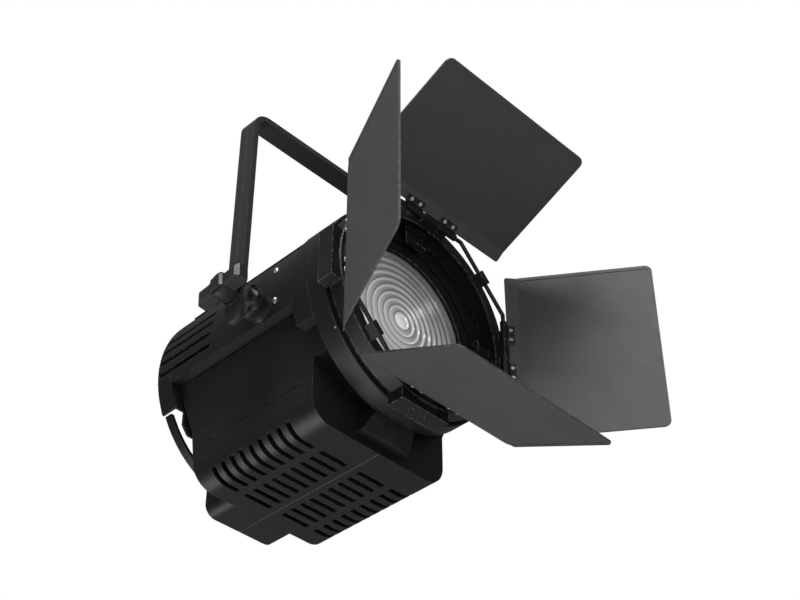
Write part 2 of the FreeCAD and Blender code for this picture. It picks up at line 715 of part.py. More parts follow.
def panel_socket(x, z, r):
    """Round chassis connector in the back of the connector block."""
    flange = box(x - r - 3, x + r + 3, BLOCK_BACK, BLOCK_BACK + 2.5, z - r - 3, z + r + 3)
    barrel = cyl_y(r, BLOCK_BACK - 16, BLOCK_BACK + 4, x, z)
    return fuse([flange, barrel]).cut(cyl_y(r - 2.2, BLOCK_BACK - 8, BLOCK_BACK + 8, x, z))


POWER_SOCKET = (-32.0, -160.0, 13.0)
DATA_SOCKETS = [(7.0, -160.0, 10.5), (37.0, -160.0, 10.5)]


def block_cutouts():
    cuts = [cyl_y(r, BLOCK_BACK - 20, BLOCK_BACK + 1, x, z) for x, z, r in [POWER_SOCKET] + DATA_SOCKETS]
    x, z = SWITCH
    cuts.append(box(x - 10, x + 10, BLOCK_BACK - 20, BLOCK_BACK + 1, z - 7.5, z + 7.5))
    return Part.makeCompound(cuts)


def safety_eye():
    base = box(-16, 16, 289, 301, BODY_R - 2, BODY_R + 4)
    lug = fuse([box(-13, 13, 292, 298, BODY_R, BODY_R + 13), cyl_y(13, 292, 298, 0, BODY_R + 13)])
    eye = fuse([base, lug]).cut(cyl_y(6.0, 280, 320, 0, BODY_R + 14))
    return largest(eye.cut(cyl_y(BODY_R + 0.5, 280, 320)))


# ---- barn door ---------------------------------------------------------------------------------------------
RING_FRONT = -33.0
DOOR_R = 146.0           # outer radius of the turning ring
DOOR_LIP = 130.0         # inner radius of its front lip
QUARTERS = [0.0, 90.0, 180.0, 270.0]
CORNERS = [45.0, 135.0, 225.0, 315.0]
BRACKET_HALF = 39.0
BRACKET_OUT = 157.0
BRACKET_FRONT = -31.0
BRACKET_SCREW_Z = [-12.4, 12.4]


def barndoor_ring():
    profile = [(DOOR_LIP, RING_FRONT), (DOOR_R - 1, RING_FRONT), (DOOR_R, RING_FRONT + 1), (DOOR_R, -12.0),
               (143.7, -12.0), (143.7, -3.5), (141, -3.5), (141, RING_FRONT + 2.5),
               (DOOR_LIP, RING_FRONT + 2.5)]
    ring = revolve_y(profile)
    groove = tube_y(150, 142.2, -4.9, -1.1)
    return largest(ring.cut(groove))


def hinge_bracket():
    """Curved-back block that stiffens the ring behind one side of the rod."""
    half = BRACKET_HALF
    block = box(130, BRACKET_OUT, BRACKET_FRONT, -7.0, -half, half)
    block = block.cut(cyl_y(DOOR_R, -60, 10))
    for z in BRACKET_SCREW_Z:
        block = block.cut(cyl_x(2.2, BRACKET_OUT - 3.0, 170, -20.0, z))
    return largest(block)


def bracket_screws():
    """Socket screws sunk in the brackets."""
    out = []
    for z in BRACKET_SCREW_Z:
        out += around(cyl_x(2.1, BRACKET_OUT - 3.0, BRACKET_OUT - 1.6, -20.0, z), QUARTERS)
    return out


def hinge_rod():
    """Octagon of round rod, one closed loop."""
    straight = HINGE - ROD_CHAMFER
    corners = []
    for sx, sz, first in ((1, 1, True), (-1, 1, False), (-1, -1, True), (1, -1, False)):
        pair = [(sx * HINGE, sz * straight), (sx * straight, sz * HINGE)]
        corners += pair if first else pair[::-1]
    pieces = []
    for i, (x, z) in enumerate(corners):
        nx, nz = corners[(i + 1) % len(corners)]
        run = vec(nx - x, 0, nz - z)
        pieces.append(Part.makeCylinder(ROD_R, run.Length, vec(x, HINGE_Y, z), run))
        pieces.append(Part.makeSphere(ROD_R, vec(x, HINGE_Y, z)))
    return fuse(pieces)


def rod_hole(radius):
    return Part.makeCylinder(ROD_R, 80, vec(radius, HINGE_Y, -40), Z)


def corner_block():
    """Block at 0 degrees between the ring's face and the middle of a chamfer rod."""
    mid = (2 * HINGE - ROD_CHAMFER) / math.sqrt(2)
    return box(mid - 4.5, mid + 5.5, HINGE_Y - 4.6, RING_FRONT, -9.5, 9.5).cut(rod_hole(mid))


def side_block():
    """Knuckle on a low foot that holds the middle of the rod's right side."""
    knuckle = box(HINGE - 5, HINGE + 4.5, HINGE_Y - 4.5, RING_FRONT, -14, 14)
    foot = box(HINGE - 5, HINGE + 1.5, HINGE_Y + 4.7, RING_FRONT, -33, 33)
    return fuse([knuckle, foot]).cut(rod_hole(HINGE))


def gel_clip():
    """Angle at 0 degrees on the ring's inner wall that holds a filter frame."""
    half = 15.0
    foot = box(109, 144, -15, -13, -half, half)
    hook = box(109, 111, -21, -13, -half, half)
    root = box(136, 144, -21, -13, -half, half)
    return fuse([foot, hook, root]).common(cyl_y(141.0, -30, 0))


def leaf_frame(shape, side):
    """Open a leaf, drawn pointing forwards on the right side, then turn it to its side."""
    shape.rotate(vec(HINGE, HINGE_Y, 0), Z, LEAF_OPEN[side])
    return turned(shape, LEAF_TURN[side])


CLIP_Z = 30.5
CLIP_HALF = 15.0
CLIP_T = 1.5
RIVET_OFF = 7.5
RIVET_ALONG = 5.0        # rivets from the leaf's hinge edge
SKIN = 9.5               # hinge axis to the inner face of the leaf's sheet
LEAF_START = 3.6         # hinge axis to the leaf's hinge edge, towards its tip


def rivet_places():
    return [s * CLIP_Z + t * RIVET_OFF for s in (-1, 1) for t in (-1, 1)]


def on_flange(along, out):
    """Point along the flange's inner face from its hinge edge, and out from that face."""
    bend = math.radians(LEAF_BEND)
    x = HINGE + SKIN + math.sin(bend) * along + math.cos(bend) * out
    y = HINGE_Y - LEAF_START - math.cos(bend) * along + math.sin(bend) * out
    return x, y


def leaf_sheet(side):
    """Sheet leaf: a flange at the hinge, then the main panel turned in by the bend."""
    x0, y0 = on_flange(0, 0)
    x1, y1 = on_flange(LEAF_FLANGE, 0)
    x2, y2 = x1, y1 - LEAF_DEPTH[side]
    top = on_flange(0, SHEET)
    outline = [(x0, y0), (x1, y1), (x2, y2), (x2 + SHEET, y2), (x1 + SHEET, y1), top]
    sheet = prism([(x, y, -LEAF_HALF) for x, y in outline], vec(0, 0, 2 * LEAF_HALF))
    tips = [e for e in sheet.Edges
            if abs(e.BoundBox.YMin - y2) < 0.01 and e.BoundBox.YLength < 0.01
            and e.BoundBox.ZLength < 0.01]
    sheet = sheet.makeFillet(10.0, tips)
    roots = [e for e in sheet.Edges
             if e.BoundBox.YMin > y0 - 0.01 and e.BoundBox.ZLength < 0.01 and e.Length < 2 * SHEET]
    sheet = sheet.makeFillet(3.5, roots)
    for z in rivet_places():
        sheet = sheet.cut(flange_pin(1.65, -20, 20, z))
    return leaf_frame(sheet, side)


def flange_pin(radius, d0, d1, z):
    """Pin square to the flange, d0 to d1 from the flange's inner face."""
    x0, y0 = on_flange(RIVET_ALONG, d0)
    x1, y1 = on_flange(RIVET_ALONG, d1)
    return Part.makeCylinder(radius, d1 - d0, vec(x0, y0, z), vec(x1 - x0, y1 - y0, 0))


def hinge_clips(side):
    """Two clips per leaf, each a strap rolled round the rod with a tab under the flange."""
    clips = []
    for s in (-1, 1):
        z0 = s * CLIP_Z - CLIP_HALF
        roll = Part.makeCylinder(4.4, 2 * CLIP_HALF, vec(HINGE, HINGE_Y, z0), Z)
        outline = [(HINGE + 4.0, HINGE_Y - 1.2), on_flange(0, 0), on_flange(10, 0), on_flange(10, -CLIP_T),
                   on_flange(2, -CLIP_T), (HINGE + 1.2, HINGE_Y - 4.2)]
        tab = prism([(x, y, z0) for x, y in outline], vec(0, 0, 2 * CLIP_HALF))
        clip = fuse([roll, tab])
        clip = clip.cut(Part.makeCylinder(ROD_R + FIT, 60, vec(HINGE, HINGE_Y, z0 - 20), Z))
        for z in rivet_places():
            clip = clip.cut(flange_pin(1.65, -20, 20, z))
        clips.append(largest(leaf_frame(clip, side)))
    return clips


def rivets(side):
    out = []
    for z in rivet_places():
        shank = flange_pin(1.6, -CLIP_T - 0.05, SHEET + 0.05, z)
        head = flange_pin(2.7, SHEET * 1.02, SHEET + 1.0, z)
        tail = flange_pin(2.6, -CLIP_T - 1.0, -CLIP_T * 1.02, z)
        out.append(leaf_frame(fuse([shank, head, tail]), side))
    return out


# ---- write the nodes ---------------------------------------------------------------------------------------
os.makedirs("parts", exist_ok=True)

put("yoke_strap", yoke())
put("pivot_bosses", pivot_bosses())
put("yoke_friction_discs", yoke_friction_discs())
put("pivot_studs", pivot_studs())
put("pivot_nut", pivot_nut())
put("tilt_knob", tilt_knob())

put("upper_housing", upper_housing())
put("side_screws", side_screws())
put("front_collar", front_collar())
put("rear_band", rear_band())
put("rear_hoop", rear_hoop())
shell = lower_shell().cut(block_cutouts())
put("left_casting", half_of(shell, -1))
put("right_casting", half_of(shell, 1))
put("bottom_lug", bottom_lug())

put("front_ring", front_ring())
put("retaining_screws", retaining_screws())
put("lens_bezel", lens_bezel())
put("fresnel_lens", fresnel_lens())
put("lens_retainer", lens_retainer())

put("front_bulkhead", front_bulkhead())
put("rear_bulkhead", rear_bulkhead())
put("guide_rails", guide_rails())
put("carriage_plate", carriage_plate())
put("carriage_bushes", carriage_bushes())
put("drive_nut", drive_nut())
put("drive_screw", drive_screw())
put("focus_knob", focus_knob())
put("led_module", led_module())
put("light_cone", light_cone())
put("heat_sink", heat_sink())
put("fan_frame", fan_frame())
put("fan_rotor", fan_rotor())
put("power_supply", power_supply())
put("control_board", control_board())
put("supply_posts", supply_posts())

put("rear_panel", rear_panel())
put("display_board", display_board())
for number, button_x in enumerate(BUTTON_X, 1):
    put("button_%d" % number, push_button(button_x))
put("encoder_knob", encoder_knob())
put("switch_body", switch_body())
put("power_rocker", rocker())
put("power_inlet", panel_socket(*POWER_SOCKET))
put("data_sockets", [panel_socket(*place) for place in DATA_SOCKETS])
put("safety_eye", safety_eye())

put("barndoor_ring", barndoor_ring())
put("hinge_brackets", around(hinge_bracket(), QUARTERS))
put("bracket_screws", bracket_screws())
put("hinge_rod", hinge_rod())
put("corner_blocks", around(corner_block(), CORNERS) + around(side_block(), QUARTERS))
put("gel_clips", around(gel_clip(), QUARTERS))
for side in ("left", "top", "right", "bottom"):
    put("leaf_" + side, leaf_sheet(side))
    put("clips_" + side, hinge_clips(side) + rivets(side))
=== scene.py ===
import bmesh
import bpy
import json
import math
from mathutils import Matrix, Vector


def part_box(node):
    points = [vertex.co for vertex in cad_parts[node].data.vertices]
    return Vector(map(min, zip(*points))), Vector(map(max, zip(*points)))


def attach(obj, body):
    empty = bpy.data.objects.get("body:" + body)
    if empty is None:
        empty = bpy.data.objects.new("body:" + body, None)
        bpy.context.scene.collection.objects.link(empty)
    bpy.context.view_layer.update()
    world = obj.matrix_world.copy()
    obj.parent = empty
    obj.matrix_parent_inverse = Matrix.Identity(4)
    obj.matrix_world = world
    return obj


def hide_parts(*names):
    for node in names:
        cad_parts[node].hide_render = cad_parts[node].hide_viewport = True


# Looks of a studio Fresnel spotlight: a finish for every CAD piece, finer meshes where the CAD is
# plain, a studio and the camera.  Metres, in the frame's own axes: the light leaves along -Y.

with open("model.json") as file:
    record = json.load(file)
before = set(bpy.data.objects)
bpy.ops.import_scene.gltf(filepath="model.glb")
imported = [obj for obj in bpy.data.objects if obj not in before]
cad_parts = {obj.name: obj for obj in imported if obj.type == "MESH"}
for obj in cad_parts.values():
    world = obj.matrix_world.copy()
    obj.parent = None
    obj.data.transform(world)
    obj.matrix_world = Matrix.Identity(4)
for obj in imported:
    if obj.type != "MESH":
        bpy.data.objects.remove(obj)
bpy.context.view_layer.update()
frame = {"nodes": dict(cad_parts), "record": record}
nodes = frame["nodes"]

MM = 0.001
BLACK = (0.0, 0.0, 0.0, 1.0)
WHITE = (1.0, 1.0, 1.0, 1.0)


# ---- the lens, placed from the frame -----------------------------------------------------------
LENS_LOW, LENS_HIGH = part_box("fresnel_lens")
AXIS = Vector((0.0, LENS_LOW.y, (LENS_LOW.z + LENS_HIGH.z) / 2))     # optical axis at the lens
LENS_RIM = (LENS_HIGH.x - LENS_LOW.x) / 2
LENS_CLEAR = LENS_RIM - 9 * MM       # radius where the flat land round the rings starts
LENS_RINGS = 9
LENS_MIDDLE = 11 * MM                # radius of the domed middle
LENS_LAST = 1 * MM                   # left over between the last ring and the land
LENS_PITCH = (LENS_CLEAR - LENS_LAST - LENS_MIDDLE) / LENS_RINGS
LENS_TOP = 0.9 * MM                  # crests behind the rim plane
LENS_DOME = 1.8 * MM                 # depth of the domed middle
LENS_RISER = 2.0 * MM                # depth of the first ring
LENS_RISER_GROWTH = 1.8 * MM         # how much deeper a ring at the rim would be
LENS_STEEP = 0.16                    # share of a ring's width that its riser takes
LENS_FALL = 1.5                      # power of the slope behind the riser
LENS_CHAMFER = 0.3 * MM
LENS_LAND_EDGE = 0.4 * MM            # width of the slope up to the land
LENS_CORE = 1e-5                     # radius of the profile's ends, just off the axis
LENS_STEPS = 220
LENS_SEGMENTS = 240
# painted light on the glass: tones across one ring, with a painted highlight on its riser and
# painted shade just behind its crest, and painted shade across the lens that stands in for the
# reflector seen through it growing darker
LENS_RING_PAINTED_LIGHT = ((0.0, 1.0), (0.08, 1.0), (0.2, 0.25), (0.45, 0.45), (0.85, 0.6), (1.0, 1.0))
LENS_PAINTED_SHADE = Vector((0.6, 0.0, 0.8))
LENS_PAINTED_SHADE_START = -0.2              # of the rim's radius
LENS_PAINTED_SHADE_END = 0.7
LENS_PAINTED_SHADE_SHARE = 0.7


# ---- materials ---------------------------------------------------------------------------------
NOISE_RANGE = (0.3, 0.7)             # where most values of a noise texture fall
EDGE_RANGE = (0.82, 0.995)           # dot of true and rounded normal, on an edge and on a flat
RUB_RANGE = (0.42, 0.62)             # noise values between which the rubbed patches fade in
EDGE_SAMPLES = 4

MIX_SOCKETS = {"RGBA": (6, 2), "FLOAT": (2, 0)}      # first input and output of a Mix node


def socket(shader, name, value):
    shader.inputs[name].default_value = value


class Finish:
    """A Principled material whose colour, roughness and bump are built up step by step."""

    def __init__(self, name, colour, roughness, metallic=0.0):
        self.material = bpy.data.materials.new(name)
        self.material.use_nodes = True
        self.tree = self.material.node_tree
        self.shader = self.tree.nodes["Principled BSDF"]
        socket(self.shader, "Base Color", (*colour, 1.0))
        socket(self.shader, "Roughness", roughness)
        socket(self.shader, "Metallic", metallic)
        self.place = self.tree.nodes.new("ShaderNodeTexCoord").outputs["Object"]
        self.colour = colour
        self.roughness = roughness
        self.height = None
        self.paint = None
        self.gloss = None

    def feed(self, target, value):
        """Link a node's output to an input, or set the input to a plain value."""
        if isinstance(value, bpy.types.NodeSocket):
            self.tree.links.new(value, target)
        else:
            target.default_value = value

    def node(self, kind, **inputs):
        """New shader node.  An input is named by its label, or _0, _1 and so on by its index."""
        made = self.tree.nodes.new("ShaderNode" + kind)
        for name, value in inputs.items():
            key = int(name[1:]) if name[0] == "_" else name.replace("_", " ")
            self.feed(made.inputs[key], value)
        return made

    def maths(self, operation, *values):
        made = self.node("Math", **{"_%d" % i: value for i, value in enumerate(values)})
        made.operation = operation
        return made.outputs[0]

    def dot(self, first, second):
        made = self.node("VectorMath", _0=first, _1=second)
        made.operation = "DOT_PRODUCT"
        return made.outputs["Value"]

    def noise(self, scale, detail=3.0, stretch=None):
        place = self.place
        if stretch:
            place = self.node("Mapping", Vector=place, Scale=stretch).outputs[0]
        return self.node("TexNoise", Vector=place, Scale=scale, Detail=detail).outputs["Fac"]

    def spread(self, value, low, high, start=NOISE_RANGE[0], end=NOISE_RANGE[1]):
        """Map a value that runs from start to end on to the range from low to high."""
        return self.node("MapRange", Value=value, From_Min=start, From_Max=end,
                         To_Min=low, To_Max=high).outputs[0]

    def mix(self, amount, first, second, kind="RGBA"):
        """Blend two colours, or two numbers when the kind is FLOAT."""
        made = self.tree.nodes.new("ShaderNodeMix")
        made.data_type = kind
        index, output = MIX_SOCKETS[kind]
        self.feed(made.inputs[0], amount)
        self.feed(made.inputs[index], first)
        self.feed(made.inputs[index + 1], second)
        return made.outputs[output]

    def vary(self, value, share):
        """Colour drifts lighter and darker by a share of itself, after a 0..1 value."""
        low = tuple(c * (1 - share) for c in self.colour) + (1.0,)
        high = tuple(min(1.0, c * (1 + share)) for c in self.colour) + (1.0,)
        self.paint = self.mix(self.spread(value, 0.0, 1.0), low, high)

    def paint_ring_light(self, centre_z, start, pitch, tones):
        """Painted light on each ring: darken the colour by the place within each ring round an
        axis along Y at x = 0.
        """
        parts = self.node("SeparateXYZ", Vector=self.place).outputs
        across = parts["X"]
        up = self.maths("SUBTRACT", parts["Z"], centre_z)
        squares = [self.maths("MULTIPLY", side, side) for side in (across, up)]
        radius = self.maths("SQRT", self.maths("ADD", *squares))
        along = self.maths("DIVIDE", self.maths("SUBTRACT", radius, start), pitch)
        outside = self.maths("MAXIMUM", along, 0.0)
        ramp = self.node("ValToRGB", Fac=self.maths("FRACT", outside))
        stops = ramp.color_ramp.elements
        while len(stops) < len(tones):
            stops.new(0.5)
        for stop, (place, tone) in zip(stops, tones):
            stop.position = place
            stop.color = (tone, tone, tone, 1.0)
        self.paint = self.mix(ramp.outputs[0], BLACK, self.paint)

    def darken_across(self, direction, start, end, share):
        """Darken the colour by up to a share, along a direction, from start to end in metres."""
        amount = self.spread(self.dot(self.place, direction), 0.0, share, start, end)
        self.paint = self.mix(amount, self.paint, BLACK)

    def smear(self, value, amount):
        """Roughness drifts by an amount either way, after a 0..1 value."""
        self.gloss = self.spread(value, self.roughness - amount, self.roughness + amount)

    def bump(self, value, depth):
        """Relief, depth in metres."""
        self.height = self.node("Bump", Height=value, Distance=depth, Strength=1.0).outputs[0]

    def wear_and_highlight(self, colour, radius, strength, roughness):
        """Edges rubbed to another tone and roughness, broken up by noise; a light tone here is
        also a painted highlight along the edges.
        """
        rounded = self.node("Bevel", Radius=radius)
        rounded.samples = EDGE_SAMPLES
        sharp = self.tree.nodes.new("ShaderNodeNewGeometry").outputs["Normal"]
        edge = self.spread(self.dot(rounded.outputs[0], sharp), 1.0, 0.0, *EDGE_RANGE)
        broken = self.spread(self.noise(scale=160.0, detail=5.0), 0.0, 1.0, *RUB_RANGE)
        amount = self.maths("MULTIPLY", self.maths("MULTIPLY", edge, broken), strength)
        self.paint = self.mix(amount, self.paint, (*colour, 1.0))
        self.gloss = self.mix(amount, self.gloss, roughness, "FLOAT")

    def done(self):
        for value, name in ((self.paint, "Base Color"), (self.gloss, "Roughness"),
                            (self.height, "Normal")):
            if value is not None:
                self.tree.links.new(value, self.shader.inputs[name])
        return self.material


def powder_coat(name, colour, roughness, grain, edge, level=0.3, rub_and_highlight=(0.13, 0.13, 0.135)):
    """Baked powder coat: fine orange peel, faint mottling, edges rubbed to a lighter grey that is
    partly a painted edge highlight.
    """
    finish = Finish(name, colour, roughness)
    socket(finish.shader, "Specular IOR Level", level)
    finish.vary(finish.noise(scale=14.0, detail=4.0), share=0.06)
    finish.smear(finish.noise(scale=38.0, detail=5.0), amount=0.03)
    finish.bump(finish.noise(scale=900.0, detail=2.0), depth=grain)
    finish.wear_and_highlight(rub_and_highlight, radius=0.9 * MM, strength=edge, roughness=roughness * 0.7)
    return finish.done()


def moulded_plastic(name, colour, roughness, edge, level):
    """Spark-eroded nylon: small pits and a soft sheen."""
    finish = Finish(name, colour, roughness)
    socket(finish.shader, "Specular IOR Level", level)
    finish.vary(finish.noise(scale=22.0), share=0.2)
    finish.smear(finish.noise(scale=60.0, detail=4.0), amount=0.05)
    finish.bump(finish.noise(scale=1500.0, detail=1.0), depth=0.03 * MM)
    finish.wear_and_highlight((0.1, 0.1, 0.1), radius=0.6 * MM, strength=edge, roughness=roughness * 0.8)
    return finish.done()


def bare_metal(name, colour, roughness, streak=(1.0, 1.0, 1.0)):
    """Metal with fine tool marks, drawn out by a streak other than one on every axis."""
    finish = Finish(name, colour, roughness, metallic=1.0)
    marks = finish.noise(scale=260.0, detail=4.0, stretch=streak)
    finish.vary(finish.noise(scale=30.0), share=0.15)
    finish.smear(marks, amount=0.09)
    finish.bump(marks, depth=0.01 * MM)
    return finish.done()


def glass_with_painted_light(name):
    """Pressed glass over the bright reflector, seen as one silvery, ringed body, with painted
    highlights and painted shade on each ring and painted shade across it.
    """
    finish = Finish(name, (0.95, 0.97, 0.97), 0.2, metallic=0.1)
    socket(finish.shader, "Coat Weight", 0.5)
    socket(finish.shader, "Coat Roughness", 0.05)
    socket(finish.shader, "IOR", 1.47)
    finish.vary(finish.noise(scale=30.0), share=0.04)
    # painted highlight on each ring's riser and painted shade just behind its crest
    finish.paint_ring_light(AXIS.z, LENS_MIDDLE, LENS_PITCH, LENS_RING_PAINTED_LIGHT)
    # painted shade across the lens, darker towards its upper right seen from the front, for the
    # reflector seen through it growing darker
    middle = AXIS.dot(LENS_PAINTED_SHADE)
    finish.darken_across(LENS_PAINTED_SHADE, middle + LENS_PAINTED_SHADE_START * LENS_RIM,
                         middle + LENS_PAINTED_SHADE_END * LENS_RIM, LENS_PAINTED_SHADE_SHARE)
    finish.smear(finish.noise(scale=45.0), amount=0.04)
    finish.bump(finish.noise(scale=120.0, detail=2.0), depth=0.02 * MM)
    return finish.done()


def printed_board(name):
    """Dark green board with its tracks as low relief."""
    finish = Finish(name, (0.001, 0.004, 0.0025), 0.6)
    socket(finish.shader, "Specular IOR Level", 0.15)
    tracks = finish.noise(scale=400.0, detail=1.0, stretch=(1.0, 0.25, 1.0))
    finish.vary(tracks, share=0.4)
    finish.bump(tracks, depth=0.02 * MM)
    return finish.done()


MATERIALS = {
    "yoke_paint": powder_coat("yoke_paint", (0.016, 0.016, 0.017), 0.42, 0.03 * MM, edge=0.6),
    "black_paint": powder_coat("black_paint", (0.006, 0.006, 0.0065), 0.42, 0.035 * MM,
                               edge=0.5, level=0.16),
    # the ring's pale, strong rubbed edges are mostly a painted highlight along its lips, with
    # some real rubbing
    "black_ring": powder_coat("black_ring", (0.005, 0.005, 0.0055), 0.5, 0.03 * MM,
                              edge=0.9, level=0.2, rub_and_highlight=(0.3, 0.3, 0.31)),
    "leaf_paint": powder_coat("leaf_paint", (0.034, 0.034, 0.035), 0.55, 0.02 * MM, edge=0.7),
    "zinc_steel": bare_metal("zinc_steel", (0.42, 0.42, 0.43), 0.36),
    "knob_plastic": moulded_plastic("knob_plastic", (0.008, 0.008, 0.0085), 0.45,
                                    edge=0.5, level=0.3),
    "lens_glass": glass_with_painted_light("lens_glass"),
    "raw_aluminium": bare_metal("raw_aluminium", (0.012, 0.012, 0.013), 0.5,
                                streak=(1.0, 12.0, 1.0)),
    "brass": bare_metal("brass", (0.72, 0.52, 0.24), 0.3),
    "circuit_board": printed_board("circuit_board"),
    "module_case": moulded_plastic("module_case", (0.002, 0.002, 0.002), 0.8,
                                   edge=0.02, level=0.08),
}
OTHER_FINISH = {"yoke_friction_discs": bare_metal("dark_steel", (0.09, 0.09, 0.095), 0.3)}

slot_of = {part["node"]: part["material_slot"] for part in frame["record"]["subparts"]}


def paint(obj, material):
    obj.data.materials.clear()
    obj.data.materials.append(material)


# ---- the CAD pieces: finish, and small rounds on some of their edges ---------------------------
ROUNDS_MM = {"yoke_strap": 0.8, "bottom_lug": 1.5, "tilt_knob": 0.6, "leaf_left": 0.25,
             "leaf_right": 0.25, "leaf_top": 0.25, "leaf_bottom": 0.25, "corner_blocks": 0.6,
             "safety_eye": 0.8}
ROUND_WELD = 0.01 * MM
ROUND_FLAT_DEGREES = 0.5             # faces that meet flatter than this become one
ROUND_SHARP_DEGREES = 35             # edges sharper than this get a round
RIVET_REACH = 6.0 * MM               # a loose shell smaller than this is a rivet


def round_edges(obj, width):
    """Clean flats, then a small round on every sharp edge."""
    weld = obj.modifiers.new("weld", "WELD")
    weld.merge_threshold = ROUND_WELD
    flat = obj.modifiers.new("flat", "DECIMATE")
    flat.decimate_type = "DISSOLVE"
    flat.angle_limit = math.radians(ROUND_FLAT_DEGREES)
    bevel = obj.modifiers.new("round", "BEVEL")
    bevel.width = width
    bevel.segments = 2
    bevel.limit_method = "ANGLE"
    bevel.angle_limit = math.radians(ROUND_SHARP_DEGREES)
    bevel.use_clamp_overlap = True
    bevel.harden_normals = False


def loose_shells(work):
    """Lists of faces that hang together, where vertices at one place count as one."""
    at_place = {}
    for vert in work.verts:
        at_place.setdefault(vert.co.to_tuple(6), []).append(vert)
    seen = set()
    for start in work.faces:
        if start in seen:
            continue
        shell, queue = [], [start]
        seen.add(start)
        while queue:
            face = queue.pop()
            shell.append(face)
            near = {f for vert in face.verts for twin in at_place[vert.co.to_tuple(6)]
                    for f in twin.link_faces}
            queue.extend(near - seen)
            seen |= near
        yield shell


def zinc_rivets(obj):
    """Second finish on the rivets, the small loose shells of a clip node."""
    mesh = obj.data
    mesh.materials.append(MATERIALS["zinc_steel"])
    work = bmesh.new()
    work.from_mesh(mesh)
    for shell in loose_shells(work):
        points = [vert.co for face in shell for vert in face.verts]
        if max((point - points[0]).length for point in points) < RIVET_REACH:
            for face in shell:
                mesh.polygons[face.index].material_index = 1
    work.free()


for name, obj in nodes.items():
    paint(obj, OTHER_FINISH.get(name, MATERIALS[slot_of[name]]))
    if name.startswith("clips_"):
        zinc_rivets(obj)
    if name in ROUNDS_MM:
        round_edges(obj, ROUNDS_MM[name] * MM)


# ---- mesh-coded pieces -------------------------------------------------------------------------
DOUBLES = 1e-6


def piece(name, verts, faces, body, slot, replaces=(), smooth=None):
    """New piece from a mesh, riding on a body, in the finish of a record slot.

    With smooth, faces are shaded smooth across edges flatter than that many degrees."""
    mesh = bpy.data.meshes.new(name)
    mesh.from_pydata([tuple(v) for v in verts], [], faces)
    mesh.validate()
    work = bmesh.new()
    work.from_mesh(mesh)
    bmesh.ops.remove_doubles(work, verts=work.verts, dist=DOUBLES)
    bmesh.ops.recalc_face_normals(work, faces=work.faces)
    work.to_mesh(mesh)
    work.free()
    obj = bpy.data.objects.new(name, mesh)
    bpy.context.scene.collection.objects.link(obj)
    if smooth is not None:
        mesh.shade_smooth()
        mesh.set_sharp_from_angle(angle=math.radians(smooth))
    paint(obj, MATERIALS[slot])
    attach(obj, body)
    if replaces:
        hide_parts(*replaces)


def revolved(profile, segments, centre):
    """Verts and faces of a closed profile of (radius, y) turned round an axis along Y."""
    verts, faces = [], []
    count = len(profile)
    for step in range(segments):
        angle = 2 * math.pi * step / segments
        for radius, y in profile:
            verts.append((centre.x + radius * math.cos(angle), y,
                          centre.z + radius * math.sin(angle)))
    for step in range(segments):
        here, there = step * count, (step + 1) % segments * count
        for i in range(count):
            j = (i + 1) % count
            faces.append((here + i, here + j, there + j, there + i))
    return verts, faces


def add_bar(verts, faces, sections):
    """Add a closed bar that runs through four-cornered sections."""
    start = len(verts)
    for i, section in enumerate(sections):
        verts.extend(section)
        if i:
            a, b = start + 4 * (i - 1), start + 4 * i
            faces.extend((a + k, b + k, b + (k + 1) % 4, a + (k + 1) % 4) for k in range(4))
    for first in (start, len(verts) - 4):
        faces.append(tuple(range(first, first + 4)))


# Lens: smooth crests and hollows in place of the CAD's flat steps, in the same rim and thickness.
LENS_SMOOTH_DEGREES = 50


def lens_surface(radius):
    """Depth of the lens's front behind its rim plane, at a radius."""
    if radius <= LENS_MIDDLE:
        return LENS_TOP + LENS_DOME * (radius / LENS_MIDDLE) ** 2
    along = (radius - LENS_MIDDLE) / LENS_PITCH
    ring = min(int(along), LENS_RINGS - 1)
    part = along - ring
    rise = LENS_RISER + LENS_RISER_GROWTH * ring / LENS_RINGS
    # a steep, rounded riser up to a crest, then a long slope down to the next riser's foot
    if part < LENS_STEEP:
        shape = 0.5 + 0.5 * math.cos(math.pi * part / LENS_STEEP)
    else:
        shape = ((part - LENS_STEEP) / (1 - LENS_STEEP)) ** LENS_FALL
    return LENS_TOP + rise * shape


def make_lens():
    front, back = LENS_LOW.y, LENS_HIGH.y
    profile = [(LENS_CORE, back)]
    for i in range(LENS_STEPS + 1):
        radius = LENS_CORE + (LENS_CLEAR - LENS_CORE) * i / LENS_STEPS
        profile.append((radius, front + lens_surface(radius)))
    profile += [(LENS_CLEAR + LENS_LAND_EDGE, front), (LENS_RIM - LENS_CHAMFER, front),
                (LENS_RIM, front + LENS_CHAMFER), (LENS_RIM, back - LENS_CHAMFER),
                (LENS_RIM - LENS_CHAMFER, back)]
    verts, faces = revolved(profile, LENS_SEGMENTS, AXIS)
    piece("lens_pressed", verts, faces, "head", "lens_glass", ["fresnel_lens"],
          LENS_SMOOTH_DEGREES)


make_lens()


# Painted shade: a dark sheet on each side, behind the louvres where they run into the rear band,
# standing in for the shade inside the head.
SHADE_SHEET_GAP = 0.6 * MM                # inside the band's wall
SHADE_SHEET_THICK = 0.5 * MM
SHADE_SHEET_LOW_DEGREES = -12.0           # ends of the arc, up from level
SHADE_SHEET_HIGH_DEGREES = 26.0
SHADE_SHEET_FRONT = 4 * MM                # short of the band's front and back
SHADE_SHEET_BACK = 1 * MM
SHADE_SHEET_STEPS = 24
BAND_WALL = 3.5 * MM


